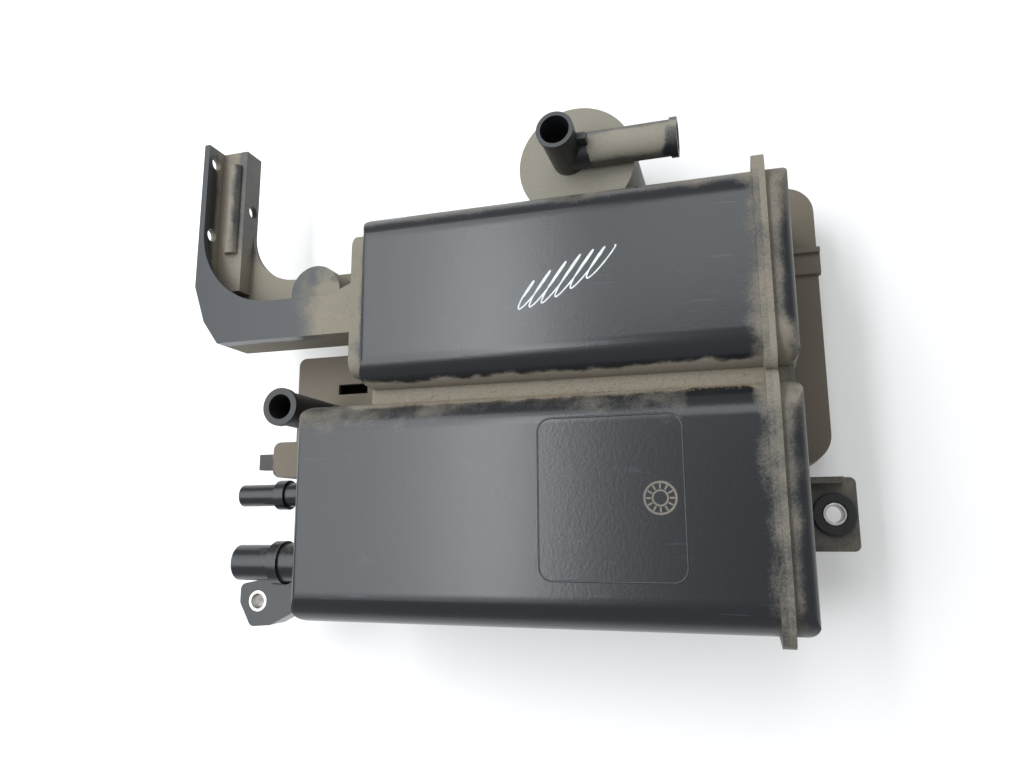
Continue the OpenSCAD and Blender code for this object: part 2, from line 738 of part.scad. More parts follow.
module bracket_arm() {
    leg_x1 = arm_x0 + leg_w;
    lap = corner_y[0];
    hole_z = (leg_web_z + arm_z1) / 2;
    deep_hole_z = (leg_web_z + arm_z0) / 2 - arm_wall / 2;
    color("#454a50") difference() {
        union() {
            translate([0, 0, arm_z1 - arm_wall]) linear_extrude(arm_wall) {
                bracket_wall(arm_front_w, arm_x0 + arm_wall, front_fillet);
                polygon([[arm_x1 - flare_len, arm_y0 + arm_front_w], [arm_x1, arm_y0 + arm_front_w],
                         [arm_x1, arm_y0 + arm_front_w + flare_w]]);
            }
            translate([0, 0, arm_z0]) linear_extrude(arm_wall) difference() {
                bracket_wall(arm_back_w, leg_x1, back_fillet);
                translate([arm_x0 - over, arm_y0 + lap]) square([leg_w - arm_wall + over, leg_len]);
            }
            translate([arm_x0 + corner_x[2], arm_y0, arm_z0])
                cube([arm_len - corner_x[2], arm_wall, arm_d]);
            translate([arm_x1 - arm_wall, arm_y0, arm_z0]) cube([arm_wall, arm_front_w, arm_d]);
            translate([arm_x0, arm_y0 + lap, leg_web_z - arm_wall])
                cube([arm_wall, leg_len - lap, arm_z1 - leg_web_z + arm_wall]);
            translate([arm_x0, arm_y0 + lap, leg_web_z - arm_wall]) cube([leg_w, leg_len - lap, arm_wall]);
            translate([leg_x1 - arm_wall, arm_y0 + lap, arm_z0])
                cube([arm_wall, leg_len - lap, leg_web_z - arm_z0]);
            translate([arm_x0, arm_y0, arm_z0]) linear_extrude(arm_d) corner_wall();
            translate([arm_x0, arm_y0 + lap, arm_z0]) cube([leg_w, arm_wall, leg_web_z - arm_z0]);
            translate([arm_x0 + leg_bead_x, leg_top - leg_bead_inset, leg_web_z]) rotate([90, 0, 0])
                cylinder(d = leg_bead_d, h = leg_len - leg_bead_inset - leg_bead_y0);
            rod_z(arm_x1 - boss_x, arm_y0 + arm_back_w - boss_d / 2, arm_z0, arm_z1 - 2 * arm_wall, boss_d);
        }
        for (y = [leg_top - hole_inset, arm_y0 + arm_front_w + front_fillet])
            rod_x(arm_x0 - over, arm_x0 + arm_wall + over, y, hole_z, arm_hole_d);
        rod_x(leg_x1 - arm_wall - over, leg_x1 + over, leg_top - hole_pitch, deep_hole_z, arm_hole_d);
    }
}

module lower_inlet_grid() { inlet_grid(lower_x0, lower_y0, lower_y1); }
module lower_inlet_fleece() { fleece(inlet_fleece_x(lower_x0), lower_y0, lower_y1); }
module lower_carbon_bed() { carbon_bed(lower_x0, stack_x1, lower_y0, lower_y1); }
module lower_outlet_fleece() { fleece(outlet_fleece_x(stack_x1), lower_y0, lower_y1); }
module lower_pressure_plate() { pressure_plate(stack_x1, lower_y0, lower_y1); }
module lower_spring() { coil_spring(stack_x1, lower_y0, lower_y1); }
module upper_inlet_grid() { inlet_grid(upper_in_x, upper_y0, upper_y1); }
module upper_inlet_fleece() { fleece(inlet_fleece_x(upper_in_x), upper_y0, upper_y1); }
module upper_carbon_bed() { carbon_bed(upper_in_x, stack_x1, upper_y0, upper_y1); }
module upper_outlet_fleece() { fleece(outlet_fleece_x(stack_x1), upper_y0, upper_y1); }
module upper_pressure_plate() { pressure_plate(stack_x1, upper_y0, upper_y1); }
module upper_spring() { coil_spring(stack_x1, upper_y0, upper_y1); }

canister_housing();
end_cover();
lower_inlet_grid();
lower_inlet_fleece();
lower_carbon_bed();
lower_outlet_fleece();
lower_pressure_plate();
lower_spring();
upper_inlet_grid();
upper_inlet_fleece();
upper_carbon_bed();
upper_outlet_fleece();
upper_pressure_plate();
upper_spring();
lug_sleeve();
tab_grommet();
grommet_sleeve();
rear_box();
rear_lid();
lid_seal();
panel_filter();
port_seal();
vent_body();
vent_cap();
vent_seal();
vent_filter();
bracket_arm();
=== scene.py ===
"""Looks of a charcoal canister: finishes, mould details, dirt, light and camera round the solids."""

import logging
import math
from dataclasses import dataclass
from enum import Enum
from typing import ClassVar, Sequence

import bmesh
import bpy
from mathutils import Matrix, Vector

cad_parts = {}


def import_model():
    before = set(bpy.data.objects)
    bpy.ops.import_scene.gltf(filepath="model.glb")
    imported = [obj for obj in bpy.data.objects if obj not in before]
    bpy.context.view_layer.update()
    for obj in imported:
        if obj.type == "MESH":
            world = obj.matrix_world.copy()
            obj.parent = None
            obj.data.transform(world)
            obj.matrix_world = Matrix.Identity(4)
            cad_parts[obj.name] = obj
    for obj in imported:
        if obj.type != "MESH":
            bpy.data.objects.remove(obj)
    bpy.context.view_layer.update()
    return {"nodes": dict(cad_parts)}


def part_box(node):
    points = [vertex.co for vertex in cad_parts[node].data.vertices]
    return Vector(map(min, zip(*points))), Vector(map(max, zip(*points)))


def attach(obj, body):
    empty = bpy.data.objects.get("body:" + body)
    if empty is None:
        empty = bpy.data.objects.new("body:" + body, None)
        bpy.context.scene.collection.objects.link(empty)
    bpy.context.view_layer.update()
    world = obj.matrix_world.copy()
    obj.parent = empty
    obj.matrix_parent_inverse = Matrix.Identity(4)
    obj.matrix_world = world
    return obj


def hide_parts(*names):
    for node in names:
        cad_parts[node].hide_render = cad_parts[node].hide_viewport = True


LOG = logging.getLogger("canister")
MM = 0.001
BODY = "root"
HOUSING_SLOT = "housing_plastic"
BUMP_DISTANCE = 0.2 * MM
EDGE_ANGLE = math.radians(32.0)
EDGE_SEGMENTS = 2
FLAT_ANGLE = math.radians(0.6)
WELD_DISTANCE = 0.002 * MM
RIDGE_CREASE = 60.0
Colour = tuple[float, float, float]


class Axis(Enum):
    """A row axis, by its place in a vector."""

    X = 0
    Y = 1
    Z = 2


@dataclass(frozen=True)
class Ramp:
    """A stretch along one axis, in metres, over which a zone comes in."""

    axis: Axis
    start: float
    full: float


@dataclass(frozen=True)
class Zone:
    """A region with more dust, or less where its strength is negative, bounded by its ramps."""

    strength: float
    ramps: tuple[Ramp, ...]


def band(axis: Axis, low: float, high: float, soft: float) -> tuple[Ramp, Ramp]:
    """Returns the two ramps of a band along an axis, with soft ends of the given length."""
    return Ramp(axis, low - soft, low), Ramp(axis, high + soft, high)


class Bench:
    """Places and joins the nodes of one shader tree."""

    def __init__(self, tree: bpy.types.NodeTree) -> None:
        """Keeps the tree to work on."""
        self.tree = tree

    def add(self, kind: str, **settings: object) -> bpy.types.Node:
        """Adds a node.

        Args:
            kind: The node's type name.
            settings: Attributes to set on it.

        Returns:
            The new node.
        """
        node = self.tree.nodes.new(kind)
        for key, value in settings.items():
            setattr(node, key, value)
        return node

    def feed(self, socket: bpy.types.NodeSocket, value: object) -> None:
        """Links a socket, or sets a plain value, to an input."""
        if isinstance(value, bpy.types.NodeSocket):
            self.tree.links.new(value, socket)
        else:
            socket.default_value = value

    def math(self, operation: str, first: object, second: object = 0.0,
             clamp: bool = False) -> bpy.types.NodeSocket:
        """Joins two values by a Math node.

        Args:
            operation: The Math node's operation.
            first: A socket or a number.
            second: A socket or a number.
            clamp: Whether the result is held from 0 to 1.

        Returns:
            The result's socket.
        """
        node = self.add("ShaderNodeMath", operation=operation, use_clamp=clamp)
        self.feed(node.inputs[0], first)
        self.feed(node.inputs[1], second)
        return node.outputs[0]

    def blend(self, factor: object, first: object, second: object) -> bpy.types.NodeSocket:
        """Mixes two colours by a factor and returns the result's socket."""
        node = self.add("ShaderNodeMix", data_type="RGBA")
        self.feed(node.inputs["Factor"], factor)
        self.feed(node.inputs[6], first)
        self.feed(node.inputs[7], second)
        return node.outputs[2]

    def ease(self, value: object, low: float, high: float, top: float = 1.0,
             base: float = 0.0) -> bpy.types.NodeSocket:
        """Maps a value smoothly.

        Args:
            value: A socket or a number.
            low: The value that becomes base.
            high: The value that becomes top.
            top: The result at high and beyond.
            base: The result at low and before.

        Returns:
            The result's socket.
        """
        node = self.add("ShaderNodeMapRange", interpolation_type="SMOOTHSTEP")
        self.feed(node.inputs["Value"], value)
        node.inputs["From Min"].default_value = low
        node.inputs["From Max"].default_value = high
        node.inputs["To Min"].default_value = base
        node.inputs["To Max"].default_value = top
        return node.outputs["Result"]

    def noise(self, place: object, scale: object, detail: float, rough: float) -> bpy.types.NodeSocket:
        """Adds a Noise texture.

        Args:
            place: The coordinates' socket.
            scale: A socket or a number.
            detail: How many finer layers it has.
            rough: How strong the finer layers are.

        Returns:
            The value's socket.
        """
        node = self.add("ShaderNodeTexNoise")
        self.feed(node.inputs["Vector"], place)
        self.feed(node.inputs["Scale"], scale)
        node.inputs["Detail"].default_value = detail
        node.inputs["Roughness"].default_value = rough
        return node.outputs["Fac"]

    def split(self, vector: object) -> tuple[bpy.types.NodeSocket, ...]:
        """Returns the three parts of a vector."""
        node = self.add("ShaderNodeSeparateXYZ")
        self.feed(node.inputs[0], vector)
        return tuple(node.outputs)


class EffectGroups:
    """Shader groups that several finishes share."""

    middle = 0.5
    fine_scale = 1400.0
    fine_share = 0.35
    mask_range = (0.2, 0.8)
    wave_scale = 28.0
    wave_share = 2.0
    scratch_scale = 42.0
    scratch_range = (0.69, 0.76)
    scratch_ways = ((0.35, 14.0), (-1.1, 20.0))
    worn_scale = 24.0
    worn_range = (0.48, 0.66)

    def __init__(self) -> None:
        """Builds the groups once."""
        self.dust = self._dust()
        self.grain = self._grain()
        self.scuffs = self._scuffs()

    @staticmethod
    def _group(name: str, inputs: Sequence[tuple[str, str, float]],
               outputs: Sequence[str]) -> Bench:
        """Starts a group.

        Args:
            name: The group's name.
            inputs: Name, socket type and first value of each input.
            outputs: Name of each value that the group puts out.

        Returns:
            A bench on the new group.
        """
        tree = bpy.data.node_groups.new(name, "ShaderNodeTree")
        for label, kind, value in inputs:
            socket = tree.interface.new_socket(label, in_out="INPUT", socket_type=kind)
            if kind == "NodeSocketFloat":
                socket.default_value = value
        for label in outputs:
            tree.interface.new_socket(label, in_out="OUTPUT", socket_type="NodeSocketFloat")
        return Bench(tree)

    def _dust(self) -> bpy.types.NodeTree:
        """Patchy dust: a mask that follows an amount, broken up by coarse and fine noise."""
        bench = self._group(
            "DustCoat",
            [("Place", "NodeSocketVector", 0.0), ("Amount", "NodeSocketFloat", 0.3),
             ("Patch Scale", "NodeSocketFloat", 60.0), ("Contrast", "NodeSocketFloat", 0.8)],
            ["Mask", "Speckle"])
        given = bench.add("NodeGroupInput")
        coarse = bench.noise(given.outputs["Place"], given.outputs["Patch Scale"], 6.0, 0.62)
        fine = bench.noise(given.outputs["Place"], self.fine_scale, 3.0, 0.6)
        swing = bench.math("SUBTRACT", coarse, self.middle)
        swing = bench.math("MULTIPLY", swing, given.outputs["Contrast"])
        swing = bench.math("MULTIPLY", swing, 2.0)
        level = bench.math("ADD", given.outputs["Amount"], swing)
        ripple = bench.math("SUBTRACT", fine, self.middle)
        level = bench.math("ADD", level, bench.math("MULTIPLY", ripple, self.fine_share))
        out = bench.add("NodeGroupOutput")
        bench.feed(out.inputs["Mask"], bench.ease(level, *self.mask_range))
        bench.feed(out.inputs["Speckle"], fine)
        return bench.tree

    def _grain(self) -> bpy.types.NodeTree:
        """Fine mould grain with slow waves of shrinkage, as a height."""
        bench = self._group(
            "MouldGrain",
            [("Place", "NodeSocketVector", 0.0), ("Scale", "NodeSocketFloat", 900.0)],
            ["Height"])
        given = bench.add("NodeGroupInput")
        fine = bench.noise(given.outputs["Place"], given.outputs["Scale"], 2.0, 0.5)
        slow = bench.noise(given.outputs["Place"], self.wave_scale, 2.0, 0.5)
        waves = bench.math("MULTIPLY", slow, self.wave_share)
        out = bench.add("NodeGroupOutput")
        bench.feed(out.inputs["Height"], bench.math("ADD", fine, waves))
        return bench.tree

    def _scuffs(self) -> bpy.types.NodeTree:
        """Thin scratches in two directions, where a coarse noise lets them show."""
        bench = self._group(
            "Scuffs",
            [("Place", "NodeSocketVector", 0.0), ("Amount", "NodeSocketFloat", 0.5)],
            ["Mask"])
        given = bench.add("NodeGroupInput")
        lines = None
        for turn, stretch in self.scratch_ways:
            mapping = bench.add("ShaderNodeMapping")
            bench.feed(mapping.inputs["Vector"], given.outputs["Place"])
            mapping.inputs["Rotation"].default_value = (0.0, 0.0, turn)
            mapping.inputs["Scale"].default_value = (1.0, stretch, stretch)
            thread = bench.noise(mapping.outputs["Vector"], self.scratch_scale, 2.0, 0.4)
            line = bench.ease(thread, *self.scratch_range)
            lines = line if lines is None else bench.math("MAXIMUM", lines, line)
        worn = bench.noise(given.outputs["Place"], self.worn_scale, 2.0, 0.5)
        shown = bench.math("MULTIPLY", lines, bench.ease(worn, *self.worn_range))
        shown = bench.math("MULTIPLY", shown, given.outputs["Amount"])
        out = bench.add("NodeGroupOutput")
        bench.feed(out.inputs["Mask"], shown)
        return bench.tree


@dataclass(frozen=True)
class PlasticFinish:
    """Black moulded plastic under more or less dust."""

    stir_scale: ClassVar[float] = 85.0
    stir_detail: ClassVar[float] = 4.0
    facing_range: ClassVar[tuple[float, float]] = (0.15, 0.85)
    worn_gain: ClassVar[float] = 3.0
    worn_lift: ClassVar[float] = 0.02
    deep_share: ClassVar[float] = 0.62
    dust_roughness: ClassVar[float] = 0.95
    bump_strength: ClassVar[float] = 0.16
    dust_height: ClassVar[float] = 0.8

    name: str
    slot: str
    plastic: Colour
    dust: Colour
    roughness: float = 0.34
    haze: float = 0.1
    facing: tuple[tuple[Axis, float], ...] = ()
    patch_scale: float = 55.0
    contrast: float = 0.5
    cover: float = 0.9
    scuff: float = 0.5
    ragged: float = 8.0 * MM
    zones: tuple[Zone, ...] = ()

    def _amount(self, bench: Bench, coords: bpy.types.Node) -> object:
        """Adds up how much dust lies at a place.

        Args:
            bench: The bench on the material's tree.
            coords: The tree's coordinates.

        Returns:
            The amount's socket, or a plain number where nothing changes it.
        """
        stir = bench.add("ShaderNodeTexNoise")
        bench.feed(stir.inputs["Vector"], coords.outputs["Object"])
        stir.inputs["Scale"].default_value = self.stir_scale
        stir.inputs["Detail"].default_value = self.stir_detail
        drift = bench.add("ShaderNodeVectorMath", operation="MULTIPLY_ADD")
        bench.feed(drift.inputs[0], stir.outputs["Color"])
        drift.inputs[1].default_value = (2.0 * self.ragged,) * 3
        bench.feed(drift.inputs[2], coords.outputs["Object"])
        parts = bench.split(drift.outputs[0])
        amount: object = self.haze
        for zone in self.zones:
            share: object = zone.strength
            for ramp in zone.ramps:
                start, full = ramp.start + self.ragged, ramp.full + self.ragged
                place = parts[ramp.axis.value]
                if start < full:
                    step = bench.ease(place, start, full)
                else:
                    step = bench.ease(place, full, start, 0.0, 1.0)
                share = bench.math("MULTIPLY", step, share)
            amount = bench.math("ADD", share, amount)
        sides = bench.split(coords.outputs["Normal"])
        for axis, strength in self.facing:
            turned = bench.ease(sides[axis.value], *self.facing_range, strength)
            amount = bench.math("ADD", turned, amount)
        return amount

    def build(self, groups: EffectGroups) -> bpy.types.Material:
        """Makes the material.

        Args:
            groups: The shared effects.

        Returns:
            The new material.
        """
        material, bench, shader = blank_material(self.name)
        coords = bench.add("ShaderNodeTexCoord")
        place = coords.outputs["Object"]
        dust = bench.add("ShaderNodeGroup", node_tree=groups.dust)
        bench.feed(dust.inputs["Place"], place)
        bench.feed(dust.inputs["Amount"], self._amount(bench, coords))
        bench.feed(dust.inputs["Patch Scale"], self.patch_scale)
        bench.feed(dust.inputs["Contrast"], self.contrast)
        mask = bench.math("MULTIPLY", dust.outputs["Mask"], self.cover)
        scuffs = bench.add("ShaderNodeGroup", node_tree=groups.scuffs)
        bench.feed(scuffs.inputs["Place"], place)
        bench.feed(scuffs.inputs["Amount"], self.scuff)
        pale = tuple(min(1.0, channel * self.worn_gain + self.worn_lift) for channel in self.plastic)
        worn = bench.blend(scuffs.outputs["Mask"], (*self.plastic, 1.0), (*pale, 1.0))
        deep = tuple(channel * self.deep_share for channel in self.dust)
        dirt = bench.blend(dust.outputs["Speckle"], (*deep, 1.0), (*self.dust, 1.0))
        bench.feed(shader.inputs["Base Color"], bench.blend(mask, worn, dirt))
        dull = bench.math("MULTIPLY", mask, self.dust_roughness - self.roughness)
        bench.feed(shader.inputs["Roughness"], bench.math("ADD", dull, self.roughness, clamp=True))
        grain = bench.add("ShaderNodeGroup", node_tree=groups.grain)
        bench.feed(grain.inputs["Place"], place)
        bump = bench.add("ShaderNodeBump")
        bump.inputs["Strength"].default_value = self.bump_strength
        bump.inputs["Distance"].default_value = BUMP_DISTANCE
        coat = bench.math("MULTIPLY", mask, self.dust_height)
        bench.feed(bump.inputs["Height"], bench.math("ADD", grain.outputs["Height"], coat))
        bench.feed(shader.inputs["Normal"], bump.outputs["Normal"])
        return material


@dataclass(frozen=True)
class GrainFinish:
    """A plain stuff with two tones and a grain: metal, rubber, fleece, carbon, paper or paint."""

    tone_range: ClassVar[tuple[float, float]] = (0.3, 0.7)
    gloss_range: ClassVar[tuple[float, float]] = (0.2, 0.8)
    gloss_swing: ClassVar[float] = 0.15
    grain_finer: ClassVar[float] = 3.0

    name: str
    slot: str
    light: Colour
    dark: Colour
    roughness: float
    metallic: float = 0.0
    scale: float = 300.0
    stretch: tuple[float, float, float] = (1.0, 1.0, 1.0)
    bump: float = 0.2

    def build(self, groups: EffectGroups) -> bpy.types.Material:
        """Makes the material.

        Args:
            groups: The shared effects.

        Returns:
            The new material.
        """
        material, bench, shader = blank_material(self.name)
        mapping = bench.add("ShaderNodeMapping")
        bench.feed(mapping.inputs["Vector"], bench.add("ShaderNodeTexCoord").outputs["Object"])
        mapping.inputs["Scale"].default_value = self.stretch
        tone = bench.noise(mapping.outputs["Vector"], self.scale, 5.0, 0.6)
        mixed = bench.blend(bench.ease(tone, *self.tone_range), (*self.dark, 1.0), (*self.light, 1.0))
        bench.feed(shader.inputs["Base Color"], mixed)
        dull = self.roughness * (1.0 + self.gloss_swing)
        shiny = self.roughness * (1.0 - self.gloss_swing)
        bench.feed(shader.inputs["Roughness"], bench.ease(tone, *self.gloss_range, dull, shiny))
        shader.inputs["Metallic"].default_value = self.metallic
        grain = bench.add("ShaderNodeGroup", node_tree=groups.grain)
        bench.feed(grain.inputs["Place"], mapping.outputs["Vector"])
        bench.feed(grain.inputs["Scale"], self.scale * self.grain_finer)
        bump = bench.add("ShaderNodeBump")
        bump.inputs["Strength"].default_value = self.bump
        bump.inputs["Distance"].default_value = BUMP_DISTANCE
        bench.feed(bump.inputs["Height"], grain.outputs["Height"])
        bench.feed(shader.inputs["Normal"], bump.outputs["Normal"])
        return material


def blank_material(name: str) -> tuple[bpy.types.Material, Bench, bpy.types.Node]:
    """Makes an empty node material.

    Args:
        name: The material's name.

    Returns:
        The material, a bench on its tree, and its Principled shader.
    """
    material = bpy.data.materials.new(name)
    material.use_nodes = True
    bench = Bench(material.node_tree)
    shader = next(node for node in material.node_tree.nodes if node.type == "BSDF_PRINCIPLED")
    return material, bench, shader


def add_piece(name: str, mesh: bpy.types.Mesh, material: bpy.types.Material) -> bpy.types.Object:
    """Puts a finished mesh into the scene, riding on the body.

    Args:
        name: The piece's name.
        mesh: Its mesh, already in place.
        material: Its material.

    Returns:
        The piece.
    """
    piece = bpy.data.objects.new(name, mesh)
    bpy.context.collection.objects.link(piece)
    mesh.materials.clear()
    mesh.materials.append(material)
    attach(piece, BODY)
    LOG.info("piece %s, %d faces", name, len(mesh.polygons))
    return piece


def bake(piece: bpy.types.Object) -> bpy.types.Mesh:
    """Turns a scratch object with its modifiers into a plain mesh and removes the object."""
    bpy.context.view_layer.update()
    graph = bpy.context.evaluated_depsgraph_get()
    mesh = bpy.data.meshes.new_from_object(piece.evaluated_get(graph))
    old = piece.data
    bpy.data.objects.remove(piece)
    if isinstance(old, bpy.types.Mesh):
        bpy.data.meshes.remove(old)
    return mesh


def smooth(mesh: bpy.types.Mesh, degrees: float) -> None:
    """Shades a mesh smooth, with creases where faces meet at more than an angle."""
    mesh.polygons.foreach_set("use_smooth", [True] * len(mesh.polygons))
    mesh.set_sharp_from_angle(angle=math.radians(degrees))
    mesh.update()


def rounded_copy(source: bpy.types.Object, name: str, radius: float) -> bpy.types.Mesh:
    """Copies a solid's mesh and rounds its edges, as a mould leaves them.

    Args:
        source: The solid's object.
        name: The scratch object's name.
        radius: Radius of the edges, in metres.

    Returns:
        The new mesh.
    """
    mesh = source.data.copy()
    work = bmesh.new()
    work.from_mesh(mesh)
    bmesh.ops.remove_doubles(work, verts=work.verts, dist=WELD_DISTANCE)
    bmesh.ops.dissolve_limit(work, angle_limit=FLAT_ANGLE, verts=work.verts, edges=work.edges)
    work.to_mesh(mesh)
    work.free()
    mesh.polygons.foreach_set("use_smooth", [True] * len(mesh.polygons))
    scratch = bpy.data.objects.new(name, mesh)
    bpy.context.collection.objects.link(scratch)
    edge = scratch.modifiers.new("MouldEdge", "BEVEL")
    edge.width = radius
    edge.segments = EDGE_SEGMENTS
    edge.limit_method = "ANGLE"
    edge.angle_limit = EDGE_ANGLE
    edge.use_clamp_overlap = True
    flat = scratch.modifiers.new("FlatFaces", "WEIGHTED_NORMAL")
    flat.keep_sharp = True
    return bake(scratch)


def sweep(points: Sequence[Vector], width: float, height: float, closed: bool) -> bpy.types.Mesh:
    """Makes a low ridge that follows points on a level face.

    Args:
        points: The ridge's middle line, on the face.
        width: Width of its foot.
        height: Its height.
        closed: Whether the line closes on itself.

    Returns:
        The ridge's mesh.
    """
    sides = ((-0.5, 0.0), (-0.3, 0.8), (0.0, 1.0), (0.3, 0.8), (0.5, 0.0))
    work = bmesh.new()
    rings = []
    count = len(points)
    for i, point in enumerate(points):
        before = points[(i - 1) % count] if closed or i > 0 else point
        after = points[(i + 1) % count] if closed or i < count - 1 else point
        along = (after - before).normalized()
        across = Vector((-along.y, along.x, 0.0))
        ring = []
        for u, v in sides:
            ring.append(work.verts.new(point + across * (u * width) + Vector((0.0, 0.0, v * height))))
        rings.append(ring)
    for i in range(count if closed else count - 1):
        first, second = rings[i], rings[(i + 1) % count]
        for k in range(len(sides)):
            n = (k + 1) % len(sides)
            work.faces.new((first[k], first[n], second[n], second[k]))
    if not closed:
        work.faces.new(rings[0])
        work.faces.new(list(reversed(rings[-1])))
    bmesh.ops.recalc_face_normals(work, faces=work.faces)
    mesh = bpy.data.meshes.new("ridge")
    work.to_mesh(mesh)
    work.free()
    smooth(mesh, RIDGE_CREASE)
    return mesh


class NodeTree:
    """A Geometry Nodes tree with named inputs, used once on a scratch object."""

    def __init__(self, name: str, sizes: dict[str, float], whole: Sequence[str] = ()) -> None:
        """Starts the tree.

        Args:
            name: The tree's name.
            sizes: Name and value of each input.
            whole: The inputs that are whole numbers.
        """
        self.tree = bpy.data.node_groups.new(name, "GeometryNodeTree")
        self.bench = Bench(self.tree)
        self.sizes = sizes
        self.sockets = {}
        face = self.tree.interface
        face.new_socket("Geometry", in_out="INPUT", socket_type="NodeSocketGeometry")
        for label in sizes:
            kind = "NodeSocketInt" if label in whole else "NodeSocketFloat"
            socket = face.new_socket(label, in_out="INPUT", socket_type=kind)
            self.sockets[label] = socket.identifier
        face.new_socket("Geometry", in_out="OUTPUT", socket_type="NodeSocketGeometry")
        self.given = self.bench.add("NodeGroupInput")

    def close(self, geometry: bpy.types.NodeSocket, material: bpy.types.Material) -> None:
        """Ends the tree in Realize Instances and Set Material."""
        realize = self.bench.add("GeometryNodeRealizeInstances")
        self.bench.feed(realize.inputs[0], geometry)
        paint = self.bench.add("GeometryNodeSetMaterial")
        self.bench.feed(paint.inputs["Geometry"], realize.outputs[0])
        paint.inputs["Material"].default_value = material
        out = self.bench.add("NodeGroupOutput")
        self.bench.feed(out.inputs[0], paint.outputs[0])

    def run(self, base: bpy.types.Mesh) -> bpy.types.Mesh:
        """Runs the tree on a base mesh and returns the plain result."""
        scratch = bpy.data.objects.new("scratch", base)
        bpy.context.collection.objects.link(scratch)
        modifier = scratch.modifiers.new("Tree", "NODES")
        modifier.node_group = self.tree
        for label, value in self.sizes.items():
            modifier[self.sockets[label]] = value
        return bake(scratch)


